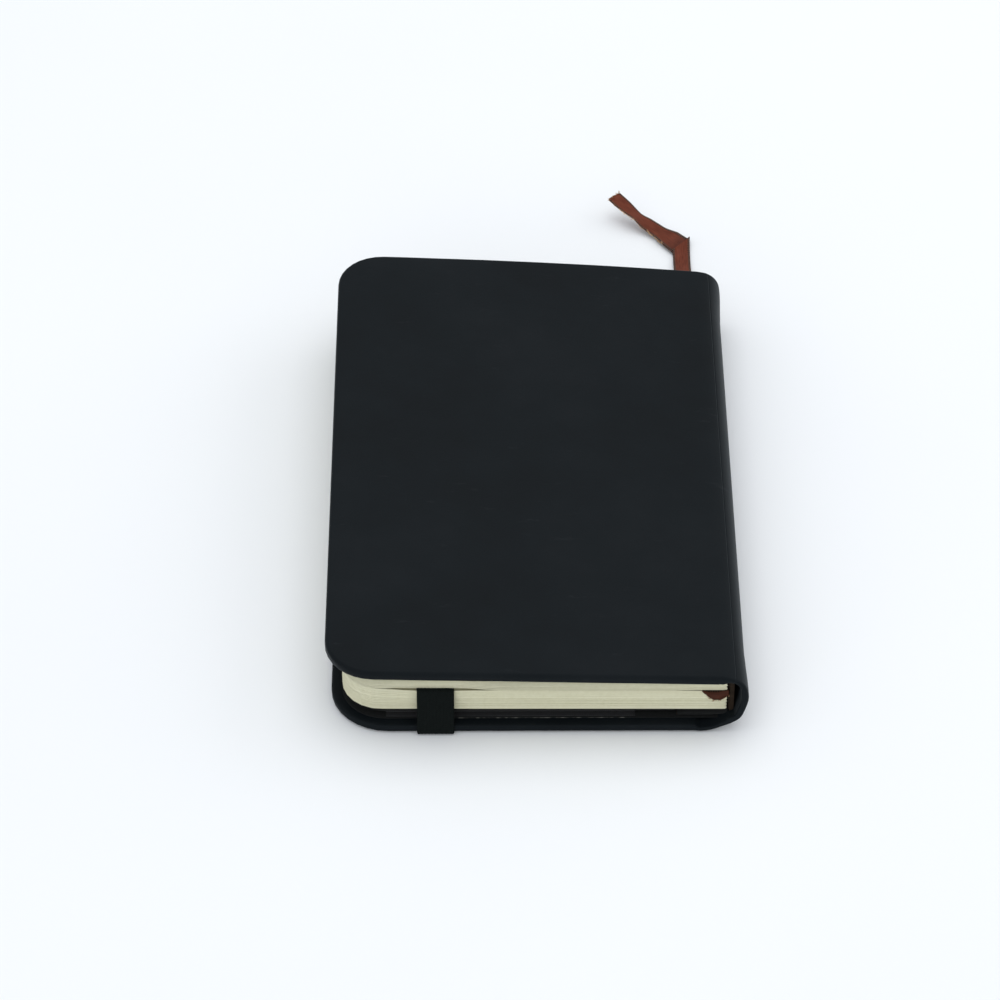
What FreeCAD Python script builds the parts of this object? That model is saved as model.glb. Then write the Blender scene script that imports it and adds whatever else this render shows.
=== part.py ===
"""Pocket notebook: sewn page block, hard covers in one soft wrap, rear pocket, ribbon and elastic strap.

Millimetres.  The closed book lies on its back cover: +X points to the spine, -Y to the head, +Z up.
The origin is on the ground under the middle of the closed book.
"""
import FreeCAD, Part

import math
import os

V = FreeCAD.Vector

# ---- driving dimensions -------------------------------------------------------------------------
HEIGHT = 140.0            # head to tail, over the covers
HALF_W = 45.0             # fore edge and spine both lie this far from the middle
BACK_EDGE_X = -44.0       # fore edge of the back cover, a little inside the front one
WRAP = 0.5                # soft cover material
BOARD = 1.5               # grey board
PASTE = 0.15              # pastedown paper
FRONT_CORNER = 10.5       # fore-edge corners of the front cover
BACK_CORNER = 12.0        # and of the back cover, which is cut a little rounder
TURN_IN = 10.0            # width of the wrap folded over the boards
REBATE = 0.5              # board pressed down under the turn-in
OUTER_ROUND = 0.6         # rounding of the outside edges
INNER_ROUND = 0.35        # rounding of the inside edges
PASTE_INSET = 2.4         # pastedown stops this far from the cover edges
TILT = 2.4                # rise of the front cover towards the fore edge, degrees

# outside line of the spine, from the flat of the back up to the hinge line: (radius, turn in degrees)
SPINE_START_X = 34.205
SPINE_ARCS = [(30.0, 14.0), (4.2, 64.0), (20.2, 22.0), (5.0, 60.0)]
SHOULDER_ARC = (8.0, 180.0 - TILT - sum(turn for radius, turn in SPINE_ARCS))
HINGE_GAP = 0.15          # half the strip left free along the hinge line
SPINE_CARD = 0.4          # card strip inside the spine
SPINE_TURN_IN = 9.0       # wrap folded in at the head and tail of the spine
FRONT_BOARD_END = 38.6
BACK_BOARD_END = 34.0
PASTE_END_FRONT = 40.0
PASTE_END_BACK = 41.0

# page block
HEAD_SQUARE = 2.6         # covers stand out past the pages at head and tail
PAGE_EDGE_X = -41.5       # trimmed fore edge of the pages
PAGE_CORNER = 8.5
SECTIONS = 10
SHEETS = 4                # folded sheets in a section, two leaves each
UPPER_SECTIONS = 4        # sections above the strap
SHEET = 0.10
PITCH = 0.112             # leaf to leaf at the spine
FOLD_X = 41.1             # outside of the folds
LEG_X = 40.6              # where a fold begins
BLOCK_Z = 4.42            # underside of the lowest leaf at the spine
STRAP_GAP = 0.3           # gap at the spine between the upper and lower sections
LOWER_TILTS = (0.25, 0.35)    # first and last leaf below the gap, degrees
UPPER_TILTS = (1.20, 2.35)    # first and last leaf above it
FLYLEAF = 0.12

# rear pocket
POCKET_FLOOR = 2 * WRAP + BOARD - REBATE + PASTE
POCKET_TOP = 4.20
POCKET_CARD = 0.35
GUSSET = 0.25
GUSSET_DEPTH = 12.0
POCKET_EDGE_X = -40.5
POCKET_SPINE_X = 30.0

# spine of the block
RIBBON = 0.2
RIBBON_W = 4.2
MULL_X = 41.4
MULL = 0.3
LINING = 0.9
LINING_Z = 2.65           # lower edge of the lining, clear of the card in the spine
THREAD_R = 0.1
STATIONS = [-44.0, -22.0, 0.0, 22.0, 44.0]

# elastic strap
STRAP_W = 8.1
STRAP_X = -21.3
STRAP = 0.8
STRAP_FLAT = 0.62         # stretched flat under the back cover
STRAP_OUT = 70.95         # outside of the strap past the cover edges
STRAP_SLOT_Y = 60.0
STRAP_TAB_Y = 50.0
SLOT_PLAY = 0.06

# ribbon tail: route of its middle line, from the pages to the cut end
TAIL_ROUTE = [
    (38.0, 67.4, 9.995), (38.0, 72.6, 9.995), (38.05, 79.6, 6.6), (38.2, 86.0, 1.6), (38.35, 92.4, 0.42),
    (38.3, 99.8, 0.6), (31.4, 105.2, 1.1), (26.4, 108.9, 2.9), (22.0, 112.8, 5.2),
]
ARC_SHARE = 0.45          # share of the shorter run that a bend takes

HALF_H = HEIGHT / 2
COVER = 2 * WRAP + BOARD - REBATE
PAGE_Y = HALF_H - HEAD_SQUARE


# ---- helpers ------------------------------------------------------------------------------------
def box(x0, x1, y0, y1, z0, z1):
    return Part.makeBox(x1 - x0, y1 - y0, z1 - z0, V(x0, y0, z0))


def arc_edge(centre, radius, a0, a1):
    """Arc in the XZ plane between two polar angles, in degrees."""
    def at(a):
        return V(centre[0] + radius * math.cos(math.radians(a)), 0, centre[1] + radius * math.sin(math.radians(a)))
    return Part.Arc(at(a0), at((a0 + a1) / 2), at(a1)).toShape()


def prism(edges, y0, y1):
    """Solid from a closed outline in the XZ plane."""
    face = Part.Face(Part.Wire(Part.__sortEdges__(edges)))
    solid = face.extrude(V(0, y1 - y0, 0))
    solid.translate(V(0, y0, 0))
    return solid


def outline(points, y0, y1):
    """Solid from straight-sided outline points (x, z)."""
    wire = Part.makePolygon([V(x, 0, z) for x, z in points + points[:1]])
    solid = Part.Face(wire).extrude(V(0, y1 - y0, 0))
    solid.translate(V(0, y0, 0))
    return solid


def rounded_plate(x0, x1, half_y, z0, z1, corner):
    """Plate with its two fore-edge corners rounded."""
    plate = box(x0, x1, -half_y, half_y, z0, z1)
    upright = [e for e in plate.Edges if abs(e.Vertexes[0].Z - e.Vertexes[-1].Z) > (z1 - z0) / 2]
    return plate.makeFillet(corner, [e for e in upright if e.Vertexes[0].X < (x0 + x1) / 2])


def round_rim(plate, z, radius, x_end):
    """Round the free rim of a plate at height z, leaving the side at x_end sharp."""
    rim = []
    for e in plate.Edges:
        mid = e.valueAt((e.FirstParameter + e.LastParameter) / 2)
        level = all(abs(v.Z - z) < 1e-6 for v in e.Vertexes) and abs(mid.z - z) < 1e-6
        if level and abs(mid.x - x_end) > 1e-6:
            rim.append(e)
    return plate.makeFillet(radius, rim)


def spine_chain():
    """The spine's arcs as (centre, radius, start and end polar angle), and the last point and heading."""
    x, z, heading = SPINE_START_X, 0.0, 0.0
    chain = []
    for radius, turn in SPINE_ARCS + [SHOULDER_ARC]:
        h = math.radians(heading)
        centre = (x - radius * math.sin(h), z + radius * math.cos(h))
        chain.append((centre, radius, heading - 90, heading + turn - 90))
        heading += turn
        h = math.radians(heading)
        x, z = centre[0] + radius * math.sin(h), centre[1] - radius * math.cos(h)
    return chain, (x, z)


CHAIN, SHOULDER = spine_chain()
HINGE = CHAIN[-1]
HINGE_X = HINGE[0][0] + HINGE[1] * math.cos(math.radians(HINGE[2]))
HINGE_Z = HINGE[0][1] + HINGE[1] * math.sin(math.radians(HINGE[2]))
SIN_TILT, COS_TILT = math.sin(math.radians(TILT)), math.cos(math.radians(TILT))
FRONT_LEN = (SHOULDER[0] + HALF_W - (COVER - INNER_ROUND) * SIN_TILT) / COS_TILT


def band_along(arcs, depth0, depth1, y0, y1):
    """Curved strip inside the spine line, between two depths under the outside."""
    parts = []
    for centre, radius, a0, a1 in arcs:
        edges = [arc_edge(centre, radius - depth0, a0, a1), arc_edge(centre, radius - depth1, a0, a1)]
        for a in (a0, a1):
            c, s = math.cos(math.radians(a)), math.sin(math.radians(a))
            edges.append(Part.makeLine(
                V(centre[0] + (radius - depth0) * c, 0, centre[1] + (radius - depth0) * s),
                V(centre[0] + (radius - depth1) * c, 0, centre[1] + (radius - depth1) * s)))
        parts.append(prism(edges, y0, y1))
    return parts


def fuse(parts):
    solid = parts[0].multiFuse(parts[1:]) if len(parts) > 1 else parts[0]
    return solid.removeSplitter()


def to_front(shape):
    """Carry a shape from the flat front-cover frame (outside at z = 0, shoulder at x = 0) to its place."""
    shape = shape.copy()
    shape.rotate(V(0, 0, 0), V(0, 1, 0), TILT)
    shape.translate(V(SHOULDER[0], 0, SHOULDER[1]))
    return shape


# ---- covers -------------------------------------------------------------------------------------
def board_plate(x0, x1, corner_cut, window_x1, z_out, z_mid, z_in):
    """Board between z_out and z_mid, with its raised middle up to z_in inside the turn-ins."""
    plate = rounded_plate(x0 + WRAP, x1, HALF_H - WRAP, min(z_out, z_mid), max(z_out, z_mid), corner_cut)
    window = box(x0 + TURN_IN, window_x1, TURN_IN - HALF_H, HALF_H - TURN_IN, min(z_mid, z_in), max(z_mid, z_in))
    return plate.fuse(window).removeSplitter()


def strap_end(side, play=0.0):
    """Fixed end of the strap: flat run under the cover, riser through the slot, tab glued inside."""
    x0, x1 = STRAP_X - STRAP_W / 2 - play, STRAP_X + STRAP_W / 2 + play
    low = -1.0 if play else 0.03
    run = box(x0, x1, STRAP_SLOT_Y - STRAP, STRAP_OUT, low, STRAP_FLAT + 0.03 + play)
    riser = box(x0, x1, STRAP_SLOT_Y - STRAP - play, STRAP_SLOT_Y + play, low, COVER)
    tab = box(x0, x1, STRAP_TAB_Y - play, STRAP_SLOT_Y + play, COVER - 0.55 - play, COVER)
    end = fuse([run, riser, tab])
    if not play:
        edge = [e for e in end.Edges if all(abs(v.Y - STRAP_OUT) < 1e-6 and v.Z < 0.1 for v in e.Vertexes)]
        end = end.makeFillet(0.4, edge)
    return end if side > 0 else end.mirror(V(0, 0, 0), V(0, 1, 0))


def back_cover():
    x1 = SPINE_START_X
    slab = rounded_plate(BACK_EDGE_X, x1, HALF_H, 0, COVER, BACK_CORNER)
    slab = round_rim(slab, 0, OUTER_ROUND, x1)
    slab = round_rim(slab, COVER, INNER_ROUND, x1)
    board = board_plate(BACK_EDGE_X, BACK_BOARD_END, BACK_CORNER - WRAP, BACK_BOARD_END, WRAP, COVER - REBATE, COVER)
    hollow = box(BACK_BOARD_END, x1 + 1, TURN_IN - HALF_H, HALF_H - TURN_IN, WRAP, COVER + 1)
    end_room = box(BACK_BOARD_END, x1 + 1, -HALF_H, HALF_H, 2 * WRAP, COVER + 1)
    wrap = slab.cut(board).cut(hollow).cut(end_room)
    spine_arcs = list(CHAIN[:4])
    centre, radius, a0, a1 = spine_arcs[3]
    spine_arcs[3] = (centre, radius, a0, a1 - math.degrees(HINGE_GAP / radius))
    outer = band_along(spine_arcs, 0, WRAP, -HALF_H, HALF_H)
    turned = []
    for y0, y1 in ((-HALF_H, SPINE_TURN_IN - HALF_H), (HALF_H - SPINE_TURN_IN, HALF_H)):
        turned += band_along(spine_arcs, WRAP, WRAP + SPINE_CARD, y0, y1)
    wrap = fuse([wrap] + outer + turned)
    for side in (-1, 1):
        room = strap_end(side, SLOT_PLAY)
        wrap = wrap.cut(room)
        board = board.cut(room)
    card_arcs = [spine_arcs[1], spine_arcs[2], spine_arcs[3]]
    inside = HALF_H - SPINE_TURN_IN
    card = fuse(band_along(card_arcs, WRAP + 0.01, WRAP + SPINE_CARD, 0.1 - inside, inside - 0.1))
    paste = rounded_plate(BACK_EDGE_X + PASTE_INSET, PASTE_END_BACK, HALF_H - PASTE_INSET, COVER, COVER + PASTE,
                          BACK_CORNER - PASTE_INSET)
    return {"cover_wrap_back_and_spine": wrap, "back_board": board, "spine_card": card, "back_pastedown": paste}


def front_cover():
    end = FRONT_BOARD_END - SHOULDER[0]
    slab = rounded_plate(-FRONT_LEN, 0, HALF_H, -COVER, 0, FRONT_CORNER)
    slab = round_rim(slab, 0, OUTER_ROUND, 0)
    slab = round_rim(slab, -COVER, INNER_ROUND, 0)
    board = board_plate(-FRONT_LEN, end, FRONT_CORNER - WRAP, end, -WRAP, REBATE - COVER, -COVER)
    hollow = box(end, 1, TURN_IN - HALF_H, HALF_H - TURN_IN, -COVER - 1, -WRAP)
    end_room = box(end, 1, -HALF_H, HALF_H, -COVER - 1, -2 * WRAP)
    wrap = to_front(slab.cut(board).cut(hollow).cut(end_room))
    centre, radius, a0, a1 = CHAIN[4]
    shoulder = [(centre, radius, a0 + math.degrees(HINGE_GAP / radius), a1)]
    strips = band_along(shoulder, 0, WRAP, -HALF_H, HALF_H)
    for y0, y1 in ((-HALF_H, SPINE_TURN_IN - HALF_H), (HALF_H - SPINE_TURN_IN, HALF_H)):
        strips += band_along(shoulder, WRAP, 2 * WRAP, y0, y1)
    wrap = fuse([wrap] + strips)
    paste = rounded_plate(-FRONT_LEN + PASTE_INSET, PASTE_END_FRONT - SHOULDER[0], HALF_H - PASTE_INSET,
                          -COVER - PASTE, -COVER, FRONT_CORNER - PASTE_INSET)
    return {"cover_wrap_front": wrap, "front_board": to_front(board), "front_pastedown": to_front(paste)}


# ---- rear pocket --------------------------------------------------------------------------------
def rear_pocket():
    half_y = PAGE_Y - 0.2
    panel = rounded_plate(POCKET_EDGE_X, POCKET_SPINE_X, half_y, POCKET_TOP - POCKET_CARD, POCKET_TOP,
                          PAGE_CORNER)
    floor, roof = POCKET_FLOOR, POCKET_TOP - POCKET_CARD
    middle = (floor + roof) / 2
    legs = [(half_y, floor), (half_y - GUSSET_DEPTH, middle - GUSSET / 2), (half_y - GUSSET_DEPTH, middle + GUSSET / 2),
            (half_y, roof), (half_y, roof - GUSSET), (half_y - GUSSET_DEPTH + 1.5, middle), (half_y, floor + GUSSET)]
    wire = Part.makePolygon([V(0, y, z) for y, z in legs + legs[:1]])
    gusset = Part.Face(wire).extrude(V(POCKET_SPINE_X - POCKET_EDGE_X - 2 * PAGE_CORNER, 0, 0))
    gusset.translate(V(POCKET_EDGE_X + PAGE_CORNER, 0, 0))
    return {"pocket_panel": panel, "pocket_gusset_tail": gusset,
            "pocket_gusset_head": gusset.mirror(V(0, 0, 0), V(0, 1, 0))}


# ---- page block ---------------------------------------------------------------------------------
def leaf_place(i):
    """Height at the spine and tilt of leaf i, counted from the back."""
    lower = SHEETS * 2 * (SECTIONS - UPPER_SECTIONS)
    upper = SHEETS * 2 * UPPER_SECTIONS
    if i < lower:
        first, last = LOWER_TILTS
        return BLOCK_Z + i * PITCH, first + (last - first) * i / (lower - 1)
    first, last = UPPER_TILTS
    return BLOCK_Z + i * PITCH + STRAP_GAP, first + (last - first) * (i - lower) / (upper - 1)


def leaf_rise(tilt):
    return (LEG_X - PAGE_EDGE_X) * math.tan(math.radians(tilt))


def folded_sheet(i_low, i_high, depth):
    """One sheet folded at the spine: its two leaves and the bend, nested `depth` sheets in."""
    (z0, t0), (z1, t1) = leaf_place(i_low), leaf_place(i_high)
    middle = (z0 + z1 + SHEET) / 2
    nose = FOLD_X - depth * PITCH
    edges = [
        Part.makeLine(V(PAGE_EDGE_X, 0, z0 + leaf_rise(t0)), V(LEG_X, 0, z0)),
        Part.Arc(V(LEG_X, 0, z0), V(nose, 0, middle), V(LEG_X, 0, z1 + SHEET)).toShape(),
        Part.makeLine(V(LEG_X, 0, z1 + SHEET), V(PAGE_EDGE_X, 0, z1 + SHEET + leaf_rise(t1))),
        Part.makeLine(V(PAGE_EDGE_X, 0, z1 + SHEET + leaf_rise(t1)), V(PAGE_EDGE_X, 0, z1 + leaf_rise(t1))),
        Part.makeLine(V(PAGE_EDGE_X, 0, z1 + leaf_rise(t1)), V(LEG_X, 0, z1)),
        Part.makeLine(V(LEG_X, 0, z0 + SHEET), V(PAGE_EDGE_X, 0, z0 + SHEET + leaf_rise(t0))),
        Part.makeLine(V(PAGE_EDGE_X, 0, z0 + SHEET + leaf_rise(t0)), V(PAGE_EDGE_X, 0, z0 + leaf_rise(t0))),
    ]
    if depth < SHEETS - 1:
        inside = Part.Arc(V(LEG_X, 0, z1), V(nose - SHEET, 0, middle), V(LEG_X, 0, z0 + SHEET)).toShape()
    else:
        inside = Part.makeLine(V(LEG_X, 0, z1), V(LEG_X, 0, z0 + SHEET))
    return prism(edges + [inside], -PAGE_Y, PAGE_Y)


def page_sections():
    """Sections 01 (front) to 10 (back), each a nest of folded sheets with trimmed round corners."""
    trim = rounded_plate(PAGE_EDGE_X - 1e-3, HALF_W, PAGE_Y + 1e-3, 0, 30, PAGE_CORNER)
    nodes = {}
    for number in range(1, SECTIONS + 1):
        first = (SECTIONS - number) * SHEETS * 2
        sheets = []
        for depth in range(SHEETS):
            sheet = folded_sheet(first + depth, first + 2 * SHEETS - 1 - depth, depth)
            sheets.append(sheet.common(trim).Solids[0])
        nodes["section_%02d" % number] = Part.makeCompound(sheets)
    return nodes


def flyleaf(z, tilt, x1):
    leaf = rounded_plate(PAGE_EDGE_X - LEG_X, x1 - LEG_X, PAGE_Y, 0, FLYLEAF, PAGE_CORNER)
    leaf.rotate(V(0, 0, 0), V(0, 1, 0), tilt)
    leaf.translate(V(LEG_X, 0, z))
    return leaf


def endleaves():
    top_z, top_tilt = leaf_place(2 * SHEETS * SECTIONS - 1)
    return {"front_flyleaf": flyleaf(top_z + SHEET + 0.02, top_tilt + 0.03, FOLD_X),
            "back_flyleaf": flyleaf(BLOCK_Z - FLYLEAF - 0.04, LOWER_TILTS[0] - 0.15, FOLD_X)}


# ---- spine of the block -------------------------------------------------------------------------
def block_spine():
    top_z = leaf_place(2 * SHEETS * SECTIONS - 1)[0] + SHEET
    base_z = COVER + PASTE + 0.05
    half_y = PAGE_Y - 0.6
    mull = box(MULL_X, MULL_X + MULL, -half_y, half_y, base_z, top_z)
    flange = box(POCKET_SPINE_X + 0.5, MULL_X + MULL, -half_y, half_y, base_z, base_z + MULL)
    mull = fuse([mull, flange])
    lining = box(MULL_X + MULL, MULL_X + MULL + LINING, -PAGE_Y, PAGE_Y, LINING_Z, top_z)
    threads = []
    for y in STATIONS:
        for number in range(1, SECTIONS + 1):
            first = (SECTIONS - number) * SHEETS * 2
            z0 = leaf_place(first)[0] + SHEET
            z1 = leaf_place(first + 2 * SHEETS - 1)[0]
            x = FOLD_X + THREAD_R + 0.02
            threads.append(Part.makeCylinder(THREAD_R, z1 - z0, V(x, y, z0)))
    return {"spine_mull": mull, "spine_lining": lining, "sewing_thread": Part.makeCompound(threads)}


def ribbon():
    """Ribbon glued to the spine at the head, folded over the head of the pages and laid through the gap."""
    z_mid = TAIL_ROUTE[0][2]
    x_mid = TAIL_ROUTE[0][0]
    glue_x = FOLD_X + 0.03
    face_y = -PAGE_Y - 0.07
    run = box(x_mid - RIBBON_W / 2, x_mid + RIBBON_W / 2, face_y - RIBBON, PAGE_Y, z_mid - RIBBON / 2,
              z_mid + RIBBON / 2)
    corner = [(x_mid - RIBBON_W / 2, z_mid + RIBBON / 2), (glue_x + RIBBON, 10.9), (glue_x + RIBBON, 6.9),
              (x_mid - RIBBON_W / 2, z_mid - RIBBON / 2)]
    fold = outline(corner, face_y - RIBBON, face_y)
    glued = box(glue_x, glue_x + RIBBON, face_y - RIBBON, -50.0, 6.9, 10.9)
    return fuse([run, fold, glued])


def tail_path(route):
    """Straight runs joined by tangent arcs; prints each bend's radius."""
    points = [V(*p) for p in route]
    edges, start = [], points[0]
    for a, b, c in zip(points, points[1:], points[2:]):
        u, w = (b - a), (c - b)
        shorter = min(u.Length, w.Length)
        turn = u.getAngle(w)
        cut = ARC_SHARE * shorter
        radius = cut / math.tan(turn / 2)
        t0 = b - u.normalize() * cut
        t1 = b + w.normalize() * cut
        to_centre = (t0 + t1) * 0.5 - b
        reach = radius / math.cos(turn / 2) - radius
        edges.append(Part.LineSegment(start, t0).toShape())
        edges.append(Part.Arc(t0, b + to_centre.normalize() * reach, t1).toShape())
        print("bend radius %.1f mm, turn %.0f degrees" % (radius, math.degrees(turn)))
        start = t1
    edges.append(Part.LineSegment(start, points[-1]).toShape())
    return Part.Wire(edges)


def ribbon_tail():
    path = tail_path(TAIL_ROUTE)
    x, y, z = TAIL_ROUTE[0]
    w, t = RIBBON_W / 2, RIBBON / 2
    section = Part.makePolygon([V(x + dx, y, z + dz) for dx, dz in ((-w, -t), (w, -t), (w, t), (-w, t), (-w, -t))])
    sweep = Part.BRepOffsetAPI.MakePipeShell(path)
    sweep.setFrenetMode(False)
    sweep.add(section)
    sweep.build()
    sweep.makeSolid()
    tail = sweep.shape()
    print("ribbon tail length %.1f mm, volume %.2f against %.2f mm3"
          % (path.Length, tail.Volume, path.Length * RIBBON_W * RIBBON))
    return tail


# ---- elastic strap ------------------------------------------------------------------------------
def strap_gap():
    """Middle height and slope of the gap between the upper and lower sections at the strap."""
    lower = SHEETS * 2 * (SECTIONS - UPPER_SECTIONS)
    reach = LEG_X - STRAP_X
    below, above = leaf_place(lower - 1), leaf_place(lower)
    z0 = below[0] + SHEET + reach * math.tan(math.radians(below[1]))
    z1 = above[0] + reach * math.tan(math.radians(above[1]))
    return (z0 + z1) / 2, (below[1] + above[1]) / 2


def strap_loop():
    """Moving part of the strap: the run between the leaves and its two legs down to the back cover."""
    z_mid, slope = strap_gap()
    t = STRAP / 2
    top_y = PAGE_Y + 0.15
    out = STRAP_OUT
    half = [(top_y + 0.1, z_mid - t), (out - STRAP, 2.3), (out - STRAP, 0.75), (out, 0.75), (out, 2.3),
            (top_y + STRAP + 0.1, z_mid - 0.1), (top_y + STRAP - 0.3, z_mid + t)]
    points = half + [(-y, z) for y, z in reversed(half)]
    wire = Part.makePolygon([V(STRAP_X - STRAP_W / 2, y, z) for y, z in points + points[:1]])
    loop = Part.Face(wire).extrude(V(STRAP_W, 0, 0))
    loop.rotate(V(STRAP_X, 0, z_mid), V(0, 1, 0), slope)
    return loop


def main():
    os.makedirs("parts", exist_ok=True)
    nodes = {}
    nodes.update(back_cover())
    nodes.update(front_cover())
    nodes.update(rear_pocket())
    nodes.update(page_sections())
    nodes.update(endleaves())
    nodes.update(block_spine())
    nodes["ribbon_bookmark"] = ribbon()
    nodes["ribbon_tail"] = ribbon_tail()
    nodes["elastic_strap_ends"] = Part.makeCompound([strap_end(-1), strap_end(1)])
    nodes["elastic_strap"] = strap_loop()
    for name, shape in nodes.items():
        shape.exportStep("parts/%s.step" % name)
    print("hinge line x %.3f z %.3f, strap height and slope %.3f %.3f" % ((HINGE_X, HINGE_Z) + strap_gap()))
    for name, shape in sorted(nodes.items()):
        b = shape.optimalBoundingBox()
        print("%-26s %d solids, valid %s, volume %.1f, x %.2f %.2f y %.2f %.2f z %.2f %.2f" % (
            name, len(shape.Solids), shape.isValid(), shape.Volume, b.XMin, b.XMax, b.YMin, b.YMax, b.ZMin, b.ZMax))


main()
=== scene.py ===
import math
import random

import bmesh
import bpy
from mathutils import Matrix, Vector, noise


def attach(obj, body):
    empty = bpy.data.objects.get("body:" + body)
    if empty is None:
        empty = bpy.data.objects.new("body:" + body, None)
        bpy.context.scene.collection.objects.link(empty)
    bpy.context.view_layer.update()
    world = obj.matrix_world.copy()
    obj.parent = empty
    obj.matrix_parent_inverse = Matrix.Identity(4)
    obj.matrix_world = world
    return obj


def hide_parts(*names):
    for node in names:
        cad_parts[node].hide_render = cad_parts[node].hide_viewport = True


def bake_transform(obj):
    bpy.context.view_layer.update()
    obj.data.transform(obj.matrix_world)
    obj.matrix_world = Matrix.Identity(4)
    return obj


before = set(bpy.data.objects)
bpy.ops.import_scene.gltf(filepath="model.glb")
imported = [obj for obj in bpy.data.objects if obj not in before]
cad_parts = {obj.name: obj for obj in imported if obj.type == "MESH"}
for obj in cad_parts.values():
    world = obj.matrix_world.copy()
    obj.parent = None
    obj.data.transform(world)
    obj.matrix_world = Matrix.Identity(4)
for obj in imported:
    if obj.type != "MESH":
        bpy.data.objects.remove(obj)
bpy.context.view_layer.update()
MM = 0.001

# ---- sizes shared with the frame, in millimetres -------------------------------------------------
HALF_H = 70.0
BACK_EDGE_X = -44.0
COVER = 2.0
FRONT_CORNER = 10.5
BACK_CORNER = 12.6
TILT = math.radians(2.4)
SPINE_START_X = 34.205
SPINE_ARCS = [(30.0, 14.0), (4.2, 64.0), (20.2, 22.0), (5.0, 60.0), (8.0, 17.6)]
PAGE_Y = 67.4
PAGE_EDGE_X = -41.5
PAGE_CORNER = 8.5
PASTE = 0.15
PASTE_INSET = 2.4
FOLD_X = 41.1
LEG_X = 40.6
BLOCK_Z = 4.42
PITCH = 0.112
SHEET = 0.10
SECTIONS = 10
UPPER_SECTIONS = 4
SHEETS = 4
STRAP_GAP = 0.3
LOWER_TILTS = (0.25, 0.35)
TOP_TILT = 2.35
FLYLEAF = 0.12
STRAP_X = -21.3
STRAP_W = 8.0
STRAP_Z = 10.55
STRAP_T = 0.7
RIBBON_W = 4.0
RIBBON_T = 0.2
TAIL_ROUTE = [
    (38.0, 67.4, 9.995), (38.0, 72.6, 9.995), (37.95, 79.6, 6.6), (37.85, 86.0, 1.6), (37.8, 92.4, 0.42),
    (37.9, 99.8, 0.6), (31.4, 105.4, 1.1), (26.4, 109.3, 2.9), (21.7, 113.3, 5.2),
]

scene = bpy.context.scene


# ---- camera, light and floor ---------------------------------------------------------------------
def make_camera():
    """Long lens looking down at the head edge of the book."""
    elevation, yaw, roll = (math.radians(a) for a in (41.41, 0.31, 0.05))
    distance, aim = 0.9249, Vector((-0.00714, 0.00553, 0))
    forward = Vector((math.sin(yaw) * math.cos(elevation), math.cos(yaw) * math.cos(elevation), -math.sin(elevation)))
    right = Vector((math.cos(yaw), -math.sin(yaw), 0))
    up = right.cross(forward)
    side = math.cos(roll) * right + math.sin(roll) * up
    top = math.cos(roll) * up - math.sin(roll) * right
    data = bpy.data.cameras.new("camera")
    data.lens = 145.5
    data.sensor_width = 36
    data.clip_end = 20
    cam = bpy.data.objects.new("camera", data)
    turn = Matrix((side, top, -forward)).transposed().to_4x4()
    cam.matrix_world = Matrix.Translation(aim - forward * distance) @ turn
    scene.collection.objects.link(cam)
    scene.camera = cam


def area_light(name, place, target, size, power, tint=(1, 1, 1)):
    data = bpy.data.lights.new(name, "AREA")
    data.shape = "RECTANGLE"
    data.size, data.size_y = size
    data.energy = power
    data.color = tint
    lamp = bpy.data.objects.new(name, data)
    lamp.location = place
    lamp.rotation_euler = (Vector(target) - Vector(place)).to_track_quat("-Z", "Y").to_euler()
    scene.collection.objects.link(lamp)


def make_studio():
    world = bpy.data.worlds.new("studio")
    scene.world = world
    world.use_nodes = True
    back = world.node_tree.nodes["Background"]
    back.inputs["Color"].default_value = (0.93, 0.96, 1.0, 1)
    back.inputs["Strength"].default_value = 0.80
    area_light("overhead", (0.0, 0.25, 1.1), (0, 0, 0), (1.2, 1.2), 4.5)
    area_light("spine_side", (0.9, 0.3, 0.5), (0, 0, 0), (0.9, 0.6), 1.7)
    area_light("head_fill", (-0.4, -1.0, 0.35), (0, 0, 0), (1.0, 0.5), 2.0)
    scene.view_settings.view_transform = "Standard"


make_camera()
make_studio()


# ---- shader helpers ------------------------------------------------------------------------------
def new_material(name):
    mat = bpy.data.materials.new(name)
    mat.use_nodes = True
    return mat, mat.node_tree, mat.node_tree.nodes["Principled BSDF"]


def add(tree, kind, links=None, **settings):
    """A shader or geometry node: settings are its own properties, links its inputs by name or number."""
    node = tree.nodes.new(kind)
    for key, value in settings.items():
        setattr(node, key, value)
    for key, value in (links or {}).items():
        socket = node.inputs[key]
        if isinstance(value, bpy.types.NodeSocket):
            tree.links.new(value, socket)
        else:
            socket.default_value = value
    return node


def math_node(tree, operation, a, b=0.0, clamp=False):
    return add(tree, "ShaderNodeMath", {0: a, 1: b}, operation=operation, use_clamp=clamp).outputs[0]


def object_coords(tree):
    return add(tree, "ShaderNodeTexCoord").outputs["Object"]


def noise_tex(tree, vector, scale, detail=3.0, rough=0.55):
    return add(tree, "ShaderNodeTexNoise", {"Vector": vector, "Scale": scale, "Detail": detail, "Roughness": rough}).outputs[0]


def ramp(tree, fac, stops):
    node = add(tree, "ShaderNodeValToRGB", {"Fac": fac})
    elements = node.color_ramp.elements
    while len(elements) < len(stops):
        elements.new(0.5)
    for element, (position, color) in zip(elements, stops):
        element.position = position
        element.color = color if len(color) == 4 else (*color, 1)
    return node.outputs[0]


def mix_color(tree, fac, a, b, mode="MIX"):
    node = add(tree, "ShaderNodeMix", data_type="RGBA", blend_type=mode)
    for key, value in ((0, fac), (6, a), (7, b)):
        socket = node.inputs[key]
        if isinstance(value, bpy.types.NodeSocket):
            tree.links.new(value, socket)
        else:
            socket.default_value = value if isinstance(value, float) else (*value[:3], 1)
    return node.outputs[2]


def bump(tree, height, strength, distance, normal=None):
    links = {"Height": height, "Strength": strength, "Distance": distance}
    if normal is not None:
        links["Normal"] = normal
    return add(tree, "ShaderNodeBump", links).outputs[0]


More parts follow.
